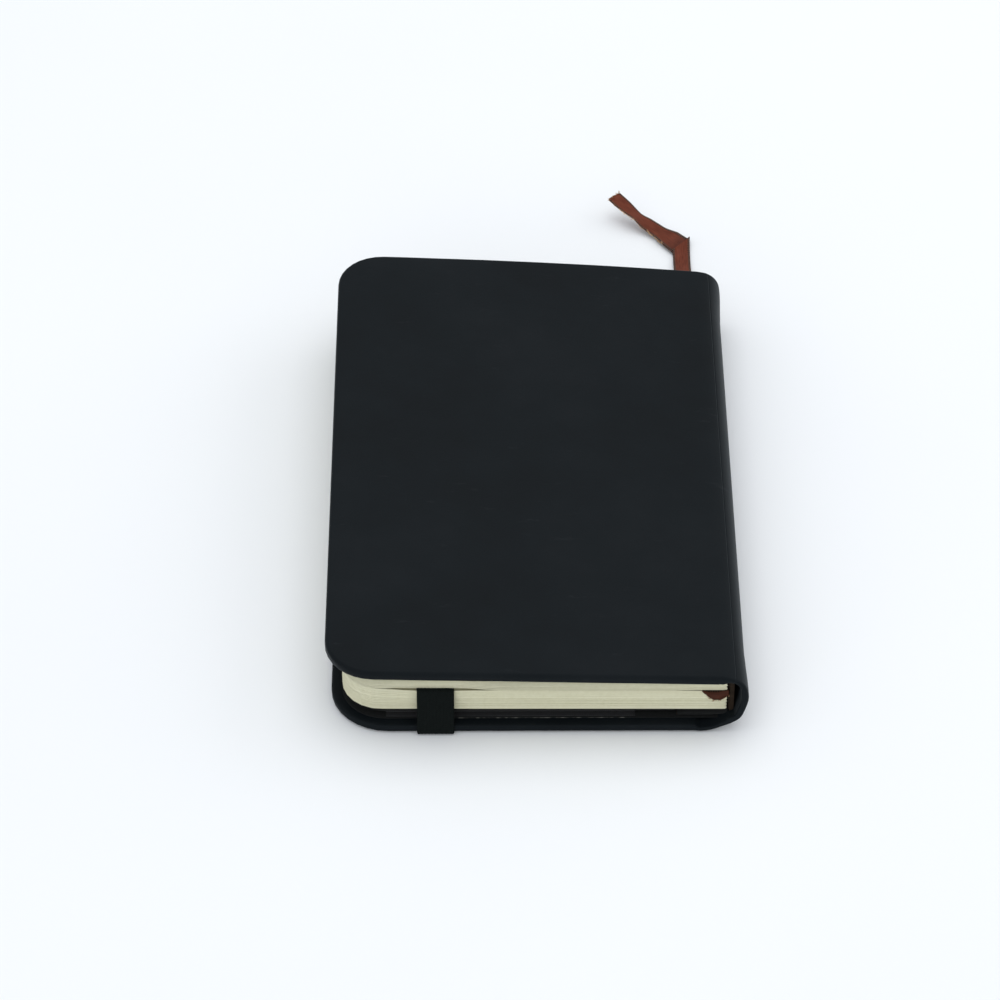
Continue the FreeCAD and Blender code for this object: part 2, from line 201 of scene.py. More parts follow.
def mapping(tree, vector, scale):
    return add(tree, "ShaderNodeMapping", {"Vector": vector, "Scale": scale}).outputs[0]


# ---- materials -----------------------------------------------------------------------------------
def soft_cover_material():
    """Matt black soft-touch cover: faint mottling, fine grain, a few dust specks and rubbed marks, and painted sheen
    that lightens it towards grazing rims.
    """
    mat, tree, bsdf = new_material("soft_touch_black")
    here = object_coords(tree)
    mottle = noise_tex(tree, here, 38.0, 4.0, 0.6)
    color = ramp(tree, mottle, [(0.30, (0.0044, 0.0062, 0.0076)), (0.52, (0.0058, 0.0082, 0.0100)),
                                (0.72, (0.0080, 0.0104, 0.0124))])
    rub = noise_tex(tree, mapping(tree, here, (14, 60, 30)), 6.0, 5.0, 0.7)
    color = mix_color(tree, ramp(tree, rub, [(0.64, (0, 0, 0)), (0.80, (0.35, 0.35, 0.35))]), color,
                      (0.030, 0.033, 0.037))
    cells = add(tree, "ShaderNodeTexVoronoi", {"Vector": here, "Scale": 150.0}).outputs
    chance = add(tree, "ShaderNodeSeparateColor", {0: cells["Color"]}).outputs[0]
    rare = math_node(tree, "GREATER_THAN", chance, 0.95)
    near = math_node(tree, "LESS_THAN", cells["Distance"], 0.03)
    speck = math_node(tree, "MULTIPLY", rare, near)
    color = mix_color(tree, speck, color, (0.085, 0.088, 0.09))
    # Painted sheen: the base colour lightens where the surface turns away from the view, standing in for the soft-touch
    # sheen on the rims.
    grazing = add(tree, "ShaderNodeLayerWeight", {"Blend": 0.5}).outputs["Facing"]
    painted_rim_sheen = ramp(tree, grazing, [(0.50, (0, 0, 0)), (0.95, (1, 1, 1))])
    color = mix_color(tree, painted_rim_sheen, color, (0.040, 0.046, 0.050))
    tree.links.new(color, bsdf.inputs["Base Color"])
    rough = ramp(tree, mottle, [(0.3, (0.50, 0.50, 0.50)), (0.7, (0.60, 0.60, 0.60))])
    tree.links.new(rough, bsdf.inputs["Roughness"])
    bsdf.inputs["Specular IOR Level"].default_value = 0.06
    grain = add(tree, "ShaderNodeTexVoronoi", {"Vector": here, "Scale": 2600.0}).outputs["Distance"]
    normal = bump(tree, grain, 0.25, 0.00006)
    normal = bump(tree, noise_tex(tree, here, 90.0, 3.0), 0.2, 0.0006, normal)
    tree.links.new(normal, bsdf.inputs["Normal"])
    return mat


def paper_material(name, tones, fibre):
    """Uncoated paper: tone shifts slightly over the sheet, with short fibres in the surface."""
    mat, tree, bsdf = new_material(name)
    here = object_coords(tree)
    broad = noise_tex(tree, mapping(tree, here, (20, 20, 900)), 1.0, 3.0)
    color = ramp(tree, broad, [(0.3, tones[0]), (0.7, tones[1])])
    threads = noise_tex(tree, mapping(tree, here, (900, 1500, 900)), 1.0, 4.0, 0.7)
    color = mix_color(tree, 0.18, color, ramp(tree, threads, [(0.35, fibre[0]), (0.65, fibre[1])]))
    tree.links.new(color, bsdf.inputs["Base Color"])
    bsdf.inputs["Roughness"].default_value = 0.86
    bsdf.inputs["Specular IOR Level"].default_value = 0.1
    tree.links.new(bump(tree, threads, 0.25, 0.00004), bsdf.inputs["Normal"])
    return mat


def worn_edge(mat):
    """Pale, broken line where the black has rubbed off the cut edge of the sheet at the head."""
    tree = mat.node_tree
    bsdf = tree.nodes["Principled BSDF"]
    here = object_coords(tree)
    split = add(tree, "ShaderNodeSeparateXYZ", {0: here}).outputs
    at_edge = math_node(tree, "LESS_THAN", split[1], -0.06755)
    broken = noise_tex(tree, mapping(tree, here, (600, 1, 1)), 1.0, 2.0)
    middle = math_node(tree, "LESS_THAN", math_node(tree, "ABSOLUTE", math_node(tree, "SUBTRACT", split[0], 0.0015)), 0.018)
    worn = math_node(tree, "MULTIPLY", math_node(tree, "MULTIPLY", at_edge, middle),
                     ramp(tree, broken, [(0.46, (0, 0, 0)), (0.60, (1, 1, 1))]))
    color = bsdf.inputs["Base Color"].links[0].from_socket
    tree.links.new(mix_color(tree, worn, color, (0.15, 0.15, 0.13)), bsdf.inputs["Base Color"])
    return mat


def woven_material(name, dark, light, threads, rough, sheen, uv=True, ratio=1.0, height=0.00008):
    """Woven cloth: crossing threads from two waves, so each crossing stands up and the gaps go dark."""
    mat, tree, bsdf = new_material(name)
    if uv:
        here = add(tree, "ShaderNodeUVMap", uv_map="thread").outputs[0]
    else:
        here = object_coords(tree)
    place = mapping(tree, here, (threads, threads * ratio, threads))
    split = add(tree, "ShaderNodeSeparateXYZ", {0: place}).outputs
    warp = math_node(tree, "SINE", math_node(tree, "MULTIPLY", split[0], math.tau))
    weft = math_node(tree, "SINE", math_node(tree, "MULTIPLY", split[1], math.tau))
    cross = math_node(tree, "MULTIPLY", warp, weft)
    weave = math_node(tree, "MULTIPLY_ADD", cross, 0.5)
    tree.nodes[-1].inputs[2].default_value = 0.5
    fleck = noise_tex(tree, place, 0.7, 3.0)
    tone = math_node(tree, "MULTIPLY", math_node(tree, "ADD", weave, fleck), 0.5)
    tree.links.new(ramp(tree, tone, [(0.15, dark), (0.8, light)]), bsdf.inputs["Base Color"])
    bsdf.inputs["Roughness"].default_value = rough
    bsdf.inputs["Sheen Weight"].default_value = sheen
    bsdf.inputs["Specular IOR Level"].default_value = 0.06
    tree.links.new(bump(tree, weave, 0.6, height), bsdf.inputs["Normal"])
    return mat


def satin_material(name, shade):
    """Brown satin: fine warp lines, dull cross threads, and a dotted dark selvage along both edges; `shade` darkens it
    as painted shade.
    """
    mat, tree, bsdf = new_material(name)
    here = add(tree, "ShaderNodeUVMap", uv_map="thread").outputs[0]
    split = add(tree, "ShaderNodeSeparateXYZ", {0: here}).outputs
    fine = noise_tex(tree, mapping(tree, here, (5200, 420, 1)), 1.0, 2.0, 0.6)
    broad = noise_tex(tree, mapping(tree, here, (260, 90, 1)), 1.0, 3.0)
    color = ramp(tree, broad, [(0.3, (0.092, 0.018, 0.007)), (0.55, (0.138, 0.030, 0.014)), (0.75, (0.19, 0.048, 0.026))])
    color = mix_color(tree, 0.35, color, ramp(tree, fine, [(0.35, (0.055, 0.010, 0.004)), (0.65, (0.24, 0.068, 0.036))]))
    warp = math_node(tree, "SINE", math_node(tree, "MULTIPLY", split[0], math.tau / 0.00066))
    color = mix_color(tree, ramp(tree, warp, [(0.80, (0, 0, 0)), (1.0, (0.35, 0.35, 0.35))]), color, (0.035, 0.010, 0.006))
    from_middle = math_node(tree, "ABSOLUTE", math_node(tree, "SUBTRACT", split[0], RIBBON_W * MM / 2))
    selvage = math_node(tree, "GREATER_THAN", from_middle, 0.0015)
    picks = math_node(tree, "SINE", math_node(tree, "MULTIPLY", split[1], math.tau / 0.00052))
    dots = ramp(tree, picks, [(0.0, (0.020, 0.010, 0.010)), (0.75, (0.055, 0.018, 0.014)), (1.0, (0.30, 0.17, 0.10))])
    color = mix_color(tree, selvage, color, dots)
    # Painted shade: `shade` mixes the satin towards near-black, for a piece that lies in the shade of the cover.
    color = mix_color(tree, shade, color, (0.012, 0.008, 0.004))
    tree.links.new(color, bsdf.inputs["Base Color"])
    bsdf.inputs["Roughness"].default_value = 0.5
    bsdf.inputs["Anisotropic"].default_value = 0.5
    bsdf.inputs["Specular IOR Level"].default_value = 0.10
    tree.links.new(bump(tree, fine, 0.5, 0.00006), bsdf.inputs["Normal"])
    return mat


def board_material():
    mat, tree, bsdf = new_material("grey_board")
    here = object_coords(tree)
    layers = noise_tex(tree, mapping(tree, here, (120, 120, 4000)), 1.0, 4.0, 0.65)
    color = ramp(tree, layers, [(0.3, (0.27, 0.25, 0.22)), (0.7, (0.42, 0.40, 0.36))])
    tree.links.new(color, bsdf.inputs["Base Color"])
    bsdf.inputs["Roughness"].default_value = 0.92
    tree.links.new(bump(tree, layers, 0.4, 0.0001), bsdf.inputs["Normal"])
    return mat


def floor_material():
    mat, tree, bsdf = new_material("pale_floor")
    here = object_coords(tree)
    tone = noise_tex(tree, here, 6.0, 2.0)
    tree.links.new(ramp(tree, tone, [(0.3, (0.86, 0.875, 0.89)), (0.7, (0.875, 0.89, 0.90))]), bsdf.inputs["Base Color"])
    bsdf.inputs["Roughness"].default_value = 0.7
    bsdf.inputs["Specular IOR Level"].default_value = 0.2
    return mat


SOFT_COVER = soft_cover_material()
PAGES = paper_material("cream_pages", ((0.69, 0.665, 0.465), (0.76, 0.735, 0.54)), ((0.62, 0.61, 0.40), (0.85, 0.85, 0.67)))
BLACK_PAPER = paper_material("black_endpaper", ((0.011, 0.012, 0.012), (0.017, 0.018, 0.018)),
                             ((0.006, 0.006, 0.006), (0.035, 0.035, 0.034)))
KRAFT = paper_material("kraft_lining", ((0.017, 0.011, 0.007), (0.028, 0.019, 0.012)),
                       ((0.008, 0.005, 0.003), (0.050, 0.036, 0.024)))
BACK_ENDPAPER = worn_edge(paper_material("back_endpaper", ((0.011, 0.012, 0.012), (0.017, 0.018, 0.018)),
                                         ((0.006, 0.006, 0.006), (0.035, 0.035, 0.034))))
BOARD = board_material()
ELASTIC = woven_material("black_elastic", (0.0018, 0.0027, 0.0025), (0.0075, 0.0100, 0.0095), 1900.0, 0.85, 0.0)
POCKET_CLOTH = woven_material("pocket_cloth", (0.006, 0.006, 0.0065), (0.022, 0.023, 0.024), 2200.0, 0.85, 0.2, uv=False)
GAUZE = woven_material("glued_gauze", (0.010, 0.007, 0.005), (0.045, 0.032, 0.022), 1100.0, 0.9, 0.0, uv=False, height=0.0002)
LINEN = woven_material("linen_thread", (0.45, 0.42, 0.34), (0.74, 0.70, 0.60), 6000.0, 0.8, 0.2, uv=False)
SATIN = satin_material("brown_satin", 0.0)
# Shaded copy of the satin for the flap under the cover's edge: painted shade.
SHADED_SATIN = satin_material("shaded_satin", 0.62)
FRAY = woven_material("frayed_edge", (0.30, 0.15, 0.07), (0.64, 0.44, 0.25), 4000.0, 0.85, 0.2, uv=False)


# ---- mesh helpers --------------------------------------------------------------------------------
def make_object(name, verts, faces, material, smooth=True, uvs=None):
    """Mesh object from points in millimetres, with its faces turned outwards."""
    mesh = bpy.data.meshes.new(name)
    mesh.from_pydata([Vector(v) * MM for v in verts], [], faces)
    if uvs is not None:
        layer = mesh.uv_layers.new(name="thread")
        for loop in mesh.loops:
            layer.data[loop.index].uv = uvs[loop.vertex_index]
    work = bmesh.new()
    work.from_mesh(mesh)
    bmesh.ops.recalc_face_normals(work, faces=work.faces)
    for face in work.faces:
        face.smooth = smooth
    work.to_mesh(mesh)
    work.free()
    mesh.materials.append(material)
    obj = bpy.data.objects.new(name, mesh)
    scene.collection.objects.link(obj)
    return obj


def clean(face):
    """Face without repeated corners, or None when nothing is left of it."""
    kept = []
    for v in face:
        if v not in kept:
            kept.append(v)
    return kept if len(kept) > 2 else None


def strip_faces(row_a, row_b, closed=False):
    count = len(row_a) if closed else len(row_a) - 1
    quads = []
    for i in range(count):
        k = (i + 1) % len(row_a)
        quad = clean([row_a[i], row_a[k], row_b[k], row_b[i]])
        if quad:
            quads.append(quad)
    return quads


def smoothstep(x, low, high):
    t = min(max((x - low) / (high - low), 0.0), 1.0)
    return t * t * (3 - 2 * t)


def spread(low, high, count):
    return [low + (high - low) * i / count for i in range(count + 1)]


# ---- line of the spine ---------------------------------------------------------------------------
def spine_chain():
    x, z, heading, chain = SPINE_START_X, 0.0, 0.0, []
    for radius, turn in SPINE_ARCS:
        h = math.radians(heading)
        chain.append((x - radius * math.sin(h), z + radius * math.cos(h), radius, heading, math.radians(turn) * radius))
        heading += turn
        h = math.radians(heading)
        x, z = chain[-1][0] + radius * math.sin(h), chain[-1][1] - radius * math.cos(h)
    return chain, (x, z)


CHAIN, SHOULDER = spine_chain()
TO_HINGE = sum(arc[4] for arc in CHAIN[:4])
CHAIN_LEN = sum(arc[4] for arc in CHAIN)


def spine_point(s, depth):
    """Point on the spine line, s along it from the flat of the back, `depth` under the outside."""
    for cx, cz, radius, heading, length in CHAIN:
        if s <= length or (cx, cz) == CHAIN[-1][:2]:
            h = math.radians(heading) + s / radius
            return cx + (radius - depth) * math.sin(h), cz - (radius - depth) * math.cos(h)
        s -= length


# ---- soft covers ---------------------------------------------------------------------------------
def rim_profile(corner, swell):
    """(inset, depth) pairs from the outside face round the rim to the inside face; `swell` thickens the rim."""
    outer, inner = 0.85, 0.5
    rim = [(corner, 0.0), (7.0, 0.0), (5.0, 0.0), (3.4, 0.0), (2.3, 0.01), (1.5, 0.03)]
    rim += [(outer * (1 - math.sin(a)), outer * (1 - math.cos(a)) + 0.05 * (1 - math.sin(a)))
            for a in [math.pi / 2 * i / 6 for i in range(7)]]
    rim += [(inner * (1 - math.cos(a)), COVER + swell - inner * (1 - math.sin(a)))
            for a in [math.pi / 2 * i / 5 for i in range(1, 6)]]
    rim += [(1.1, COVER + swell), (1.7, COVER + 0.7 * swell), (2.3, COVER), (5.0, COVER), (7.0, COVER), (corner, COVER)]
    return rim


def cover_shell(name, length, corner, swell, place, stations, wrap_depth):
    """Closed cover: flat part with round fore-edge corners, then the soft wrap on into the spine.

    place(u, y, depth) gives the point; u is 0 where the flat part meets the spine, `stations` follow it.
    """
    rim = rim_profile(corner, swell)
    last = len(rim) - 1
    arc_steps = 8
    xs = spread(0.0, corner - length, 28)
    ys = spread(corner - HALF_H, HALF_H - corner, 44)
    verts, faces = [], []

    def vert(u, y, depth):
        verts.append(place(u, y, depth))
        return len(verts) - 1

    def plane(depth):
        rows = [[vert(u, y, depth) for y in ys] for u in xs]
        for a, b in zip(rows, rows[1:]):
            faces.extend(strip_faces(a, b))
        return rows

    def shared_ring(rows):
        return ([r[0] for r in rows] + [rows[-1][0]] * (arc_steps - 1) + rows[-1]
                + [rows[-1][-1]] * (arc_steps - 1) + [r[-1] for r in reversed(rows)])

    def ring(inset, depth):
        radius, cx, cy = corner - inset, corner - length, HALF_H - corner
        turn = [math.pi / 2 * i / arc_steps for i in range(1, arc_steps)]
        line = [(u, inset - HALF_H) for u in xs]
        line += [(cx - radius * math.sin(a), -cy - radius * math.cos(a)) for a in turn]
        line += [(inset - length, y) for y in ys]
        line += [(cx - radius * math.cos(a), cy + radius * math.sin(a)) for a in turn]
        line += [(u, HALF_H - inset) for u in reversed(xs)]
        return [vert(u, y, depth) for u, y in line]

    outside, inside = plane(0.0), plane(COVER)
    rings = [shared_ring(outside)] + [ring(i, d) for i, d in rim[1:-1]] + [shared_ring(inside)]
    for a, b in zip(rings, rings[1:]):
        faces.extend(strip_faces(a, b))

    middle = range(1, len(ys) - 1)
    section = [(inset - HALF_H, depth) for inset, depth in rim]
    section += [(ys[m], COVER) for m in middle]
    section += [(HALF_H - inset, depth) for inset, depth in reversed(rim)]
    section += [(ys[m], 0.0) for m in reversed(middle)]
    loop = [r[0] for r in rings] + [inside[0][m] for m in middle] + [r[-1] for r in reversed(rings)]
    loop += [outside[0][m] for m in reversed(middle)]
    for u, thickness in stations:
        following = []
        for y, depth in section:
            share = depth / COVER
            if share == 1 and abs(y) < HALF_H - corner - 0.01:
                following.append(vert(u, y, wrap_depth))
            else:
                following.append(vert(u, y, share * thickness))
        faces.extend(strip_faces(loop, following, closed=True))
        loop = following
    half = last // 2
    turn = len(rim) + len(middle)
    pairs = [(loop[k], loop[last - k]) for k in range(half, -1, -1)]
    pairs += [(loop[-i], loop[len(rim) + i - 1]) for i in range(1, len(middle) + 1)]
    pairs += [(loop[turn + last - k], loop[turn + k]) for k in range(half + 1)]
    faces.extend(strip_faces([p[0] for p in pairs], [p[1] for p in pairs]))
    return make_object(name, verts, faces, SOFT_COVER)


def soft_wave(u, y, seed):
    """Slight unevenness of a glued cover, dying out towards the spine."""
    wave = noise.noise(Vector((u * 0.035, y * 0.03, seed))) + 0.4 * noise.noise(Vector((u * 0.11, y * 0.09, seed + 7)))
    return 0.08 * wave * smoothstep(-u, 2.0, 25.0)


def warp_lift(x, y):
    """Lift of the slightly twisted front cover: low at the head, high and a little bowed at the tail."""
    reach = max(SHOULDER[0] - x, 0.0) / 84
    bow = 4 * reach * (1 - reach) * smoothstep(y, 0.0, HALF_H)
    return reach * (WARP_MEAN + WARP_TWIST * y / HALF_H) + WARP_BOW * bow


def place_front(u, y, depth):
    if u > 0:
        x, z = spine_point(CHAIN_LEN - u, depth - end_flare(CHAIN_LEN - u, y))
        return x, y, z
    down = depth - soft_wave(u, y, 3.0)
    x = SHOULDER[0] + u * math.cos(TILT) - down * math.sin(TILT)
    z = SHOULDER[1] - u * math.sin(TILT) - down * math.cos(TILT)
    return x, y, z + warp_lift(x, y)


def end_flare(u, y):
    """How far the wrap stands out at the open ends of the spine: pressed in low down, spread above."""
    spread_out = smoothstep(u, 12.5, 18.0) * smoothstep(CHAIN_LEN - u, 2.0, 9.0)
    spread_out = spread_out * (0.4 + 0.6 * smoothstep(abs(y), 55.0, 70.0))
    pressed = smoothstep(u, 2.0, 8.0) * smoothstep(13.5 - u, 0.0, 4.5) * smoothstep(abs(y), 48.0, 68.0)
    return 0.75 * spread_out - 0.95 * pressed


def place_back(u, y, depth):
    if u > 0:
        x, z = spine_point(u, depth - end_flare(u, y))
        return x, y, z
    return SPINE_START_X + u, y, depth


WARP_MEAN = -0.05
WARP_TWIST = 1.45
WARP_BOW = 0.7
TURNED_IN = 0.7
SEAM = 1.3
FRONT_LEN = (SHOULDER[0] + 45.0 - 1.65 * math.sin(TILT)) / math.cos(TILT)


def make_covers():
    shoulder_len = CHAIN_LEN - TO_HINGE
    front_stations = [(u, 1.0 + 0.9 * (1 - smoothstep(u, 1.0, 3.4))) for u in spread(0.35, shoulder_len + SEAM, 28)]
    front = cover_shell("cover_wrap_front_leather", FRONT_LEN, FRONT_CORNER, 0.3, place_front, front_stations, 0.5)
    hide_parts("cover_wrap_front")
    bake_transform(front)
    back_len = SPINE_START_X - BACK_EDGE_X
    back_stations = [(0.35, 1.75), (0.8, 1.3)]
    back_stations += [(u, 1.0 + TURNED_IN * smoothstep(u, 4.0, 10.0) * smoothstep(TO_HINGE - u, 2.0, 7.0))
                      for u in spread(1.3, TO_HINGE - SEAM, 64)]
    back = cover_shell("cover_wrap_back_and_spine_leather", back_len, BACK_CORNER, 0.0, place_back, back_stations, 0.5)
    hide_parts("cover_wrap_back_and_spine")
    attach(back, "root")


make_covers()


def curved_plate(name, place, u0, u1, half_y, corner, depths, material):
    """Closed plate between two depths of a place mapping, its corners at u0 rounded; fine enough to follow it."""
    turn = [u0 + corner * (1 - math.cos(math.pi / 2 * i / 6)) for i in range(7)]
    stations = turn + spread(u0 + corner, u1, 26)[1:]
    across = spread(-1.0, 1.0, 30)
    verts, faces, skins = [], [], []
    for depth in depths:
        rows = []
        for u in stations:
            into = max(corner - (u - u0), 0.0)
            half = half_y - corner + math.sqrt(max(corner ** 2 - into ** 2, 0.0))
            start = len(verts)
            verts.extend(place(u, t * half, depth) for t in across)
            rows.append(list(range(start, start + len(across))))
        skins.append(rows)
        for a, b in zip(rows, rows[1:]):
            faces.extend(strip_faces(a, b))
    outer, inner = skins
    for end in (0, -1):
        faces.extend(strip_faces([r[end] for r in outer], [r[end] for r in inner]))
        faces.extend(strip_faces(outer[end], inner[end]))
    return make_object(name, verts, faces, material)


def make_front_boards():
    """Grey board inside the front cover and the black paper pasted on its inner face."""
    board = curved_plate("front_cover_board", place_front, 0.5 - FRONT_LEN, -0.5, HALF_H - 0.5, FRONT_CORNER - 0.5,
                         (0.5, COVER - 0.02), BOARD)
    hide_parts("front_board")
    paste = curved_plate("front_pastedown_paper", place_front, PASTE_INSET - FRONT_LEN, 0.0, HALF_H - PASTE_INSET,
                         FRONT_CORNER - PASTE_INSET, (COVER, COVER + PASTE), BLACK_PAPER)
    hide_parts("front_pastedown")
    for piece in (board, paste):
        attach(piece, "front_cover")


make_front_boards()


# ---- page block ----------------------------------------------------------------------------------
LOWER_LEAVES = SHEETS * 2 * (SECTIONS - UPPER_SECTIONS)
ALL_LEAVES = SHEETS * 2 * SECTIONS


def rise(x, degrees):
    return (LEG_X - x) * math.tan(math.radians(degrees))


def ripple(x, y, seed):
    return noise.noise(Vector((x * 0.05, y * 0.035, seed))) + 0.5 * noise.noise(Vector((x * 0.02, y * 0.11, seed + 4)))


def lower_bed(x, y):
    """Underside of the lowest leaf."""
    return BLOCK_Z + rise(x, LOWER_TILTS[0])


def lower_top(x, y):
    """Underside of the leaf below the strap: pressed under it, lifting again towards the fore edge."""
    beside = smoothstep(STRAP_X - STRAP_W / 2 - x, 0.0, 8.0)
    under = 1 - smoothstep(abs(x - STRAP_X), STRAP_W / 2, STRAP_W / 2 + 5)
    height = BLOCK_Z + (LOWER_LEAVES - 1) * PITCH + rise(x, LOWER_TILTS[1]) + 0.40 * beside - 0.10 * under
    return height + 0.07 * ripple(x, y, 1.0) * smoothstep(LEG_X - x, 6.0, 30.0) * (1 - under)


def upper_bed(x, y):
    """Underside of the leaf above the strap: it arches over the strap and the ribbon and closes beside them."""
    over = 1 - smoothstep(abs(x - STRAP_X), STRAP_W / 2 + 0.2, STRAP_W / 2 + 9.5)
    ribbon = smoothstep(x, 29.0, 35.5)
    return lower_top(x, y) + SHEET + 0.03 + 0.78 * over + 0.20 * ribbon


def upper_top(x, y):
    """Underside of the top leaf, which follows the front cover."""
    return BLOCK_Z + (ALL_LEAVES - 1) * PITCH + STRAP_GAP + rise(x, TOP_TILT) + warp_lift(x, y)


def half_width(x):
    into = max(PAGE_CORNER - (x - PAGE_EDGE_X), 0.0)
    return PAGE_Y - PAGE_CORNER + math.sqrt(max(PAGE_CORNER ** 2 - into ** 2, 0.0))


LEAF_ACROSS = [-1, -0.99, -0.96, -0.9, -0.8, -0.6, -0.3, 0, 0.3, 0.6, 0.8, 0.9, 0.96, 0.99, 1]
FOLD_STEPS = 5


def leaf_stations():
    """x stations from the fore edge to the fold, close together in the rounded corners and near the spine."""
    corner = [PAGE_EDGE_X + PAGE_CORNER * (1 - math.cos(math.pi / 2 * i / 6)) for i in range(6)]
    beside = [STRAP_X + side * (STRAP_W / 2 + gap) for side in (-1, 1) for gap in (0.2, 2.4, 4.8, 7.2, 9.5)]
    body = [-34.5, STRAP_X, -4.0, 4.0, 14.0, 24.0, 29.0, 31.0]
    spine = [32.0, 32.8] + spread(33.5, LEG_X, 10)
    return corner + sorted(beside + body) + spine


def sheet_base(name, bed, top):
    """One folded sheet laid out flat; each point knows its turn round the fold, its skin, and the pile's two limits."""
    stations = leaf_stations()
    steps = [(x, 0.0) for x in stations]
    steps += [(LEG_X, math.pi * i / (FOLD_STEPS + 1)) for i in range(1, FOLD_STEPS + 1)]
    steps += [(x, math.pi) for x in reversed(stations)]
    verts, turns, skins, faces, rows = [], [], [], [], {}
    for skin in (0, 1):
        rows[skin] = []
        for x, turn in steps:
            start = len(verts)
            verts.extend((x, t * half_width(x), 0.0) for t in LEAF_ACROSS)
            turns.extend([turn] * len(LEAF_ACROSS))
            skins.extend([float(skin)] * len(LEAF_ACROSS))
            rows[skin].append(list(range(start, start + len(LEAF_ACROSS))))
        for a, b in zip(rows[skin], rows[skin][1:]):
            quads = strip_faces(a, b)
            faces.extend(quads if skin else [q[::-1] for q in quads])
    skin_faces = len(faces)
    for end in (0, -1):
        side = strip_faces([r[end] for r in rows[0]], [r[end] for r in rows[1]])
        edge = strip_faces(rows[0][end], rows[1][end])
        faces.extend([q[::-1] for q in side] if end else side)
        faces.extend(edge if end else [q[::-1] for q in edge])
    mesh = bpy.data.meshes.new(name)
    mesh.from_pydata(verts, [], faces)
    mesh.polygons.foreach_set("use_smooth", [number < skin_faces for number in range(len(faces))])
    columns = {"turn": turns, "skin": skins, "bed": [bed(x, y) for x, y, z in verts],
               "top": [top(x, y) for x, y, z in verts]}
    for label, values in columns.items():
        mesh.attributes.new(label, "FLOAT", "POINT").data.foreach_set("value", values)
    return mesh


def new_tree(name, inputs):
    """Geometry node tree with named inputs, and the sockets its input and output nodes offer."""
    tree = bpy.data.node_groups.new(name, "GeometryNodeTree")
    tree.interface.new_socket("Geometry", in_out="INPUT", socket_type="NodeSocketGeometry")
    tree.interface.new_socket("Geometry", in_out="OUTPUT", socket_type="NodeSocketGeometry")
    for label, kind in inputs:
        tree.interface.new_socket(label, in_out="INPUT", socket_type="NodeSocket" + kind)
    return tree, add(tree, "NodeGroupInput").outputs


def end_tree(tree, geometry, material):
    """Real geometry with its material, so that nothing is left as an instance."""
    real = add(tree, "GeometryNodeRealizeInstances", {"Geometry": geometry}).outputs[0]
    done = add(tree, "GeometryNodeSetMaterial", {"Geometry": real, "Material": material}).outputs[0]
    add(tree, "NodeGroupOutput", {"Geometry": done})


def grow(name, mesh, tree, values):
    """Run a tree on a mesh with the given inputs and keep the result as one plain mesh object."""
    holder = bpy.data.objects.new(name, mesh)
    scene.collection.objects.link(holder)
    modifier = holder.modifiers.new("grow", "NODES")
    modifier.node_group = tree
    for socket in tree.interface.items_tree:
        if socket.in_out == "INPUT" and socket.name in values:
            modifier[socket.identifier] = values[socket.name]
    grown = bpy.data.meshes.new_from_object(holder.evaluated_get(bpy.context.evaluated_depsgraph_get()))
    holder.modifiers.remove(modifier)
    holder.data = grown
    return holder


def attribute(tree, name):
    return add(tree, "GeometryNodeInputNamedAttribute", {"Name": name}, data_type="FLOAT").outputs[0]


